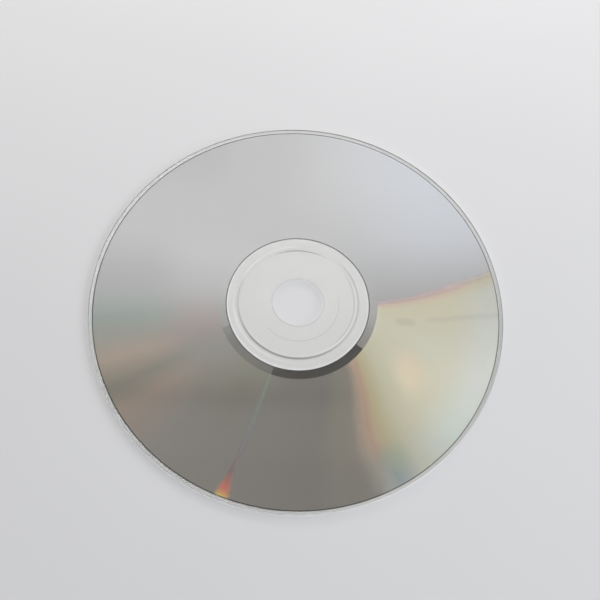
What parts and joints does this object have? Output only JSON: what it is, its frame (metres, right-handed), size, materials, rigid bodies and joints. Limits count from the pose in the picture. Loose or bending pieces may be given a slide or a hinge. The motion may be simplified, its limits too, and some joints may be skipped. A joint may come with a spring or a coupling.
{
  "type": "compact disc",
  "caption": "Clear round data disc with a mirror film on its label side, a centre hole, a clamping area and a stacking ring, lying read side up.",
  "frame": {"origin": "centre of the disc, in the plane of the label side that it rests on", "axes": "+Z along the spindle axis, out of the read side; the disc is round, so +X and +Y are any two radii"},
  "size_m": [0.12, 0.12, 0.0014],
  "materials": {
    "clear_polycarbonate": "polished",
    "reflective_metal": "polished"
  },
  "bodies": {
    "root": {"clear_disc": "clear_polycarbonate", "metal_film": "reflective_metal"}
  },
  "joints": []
}
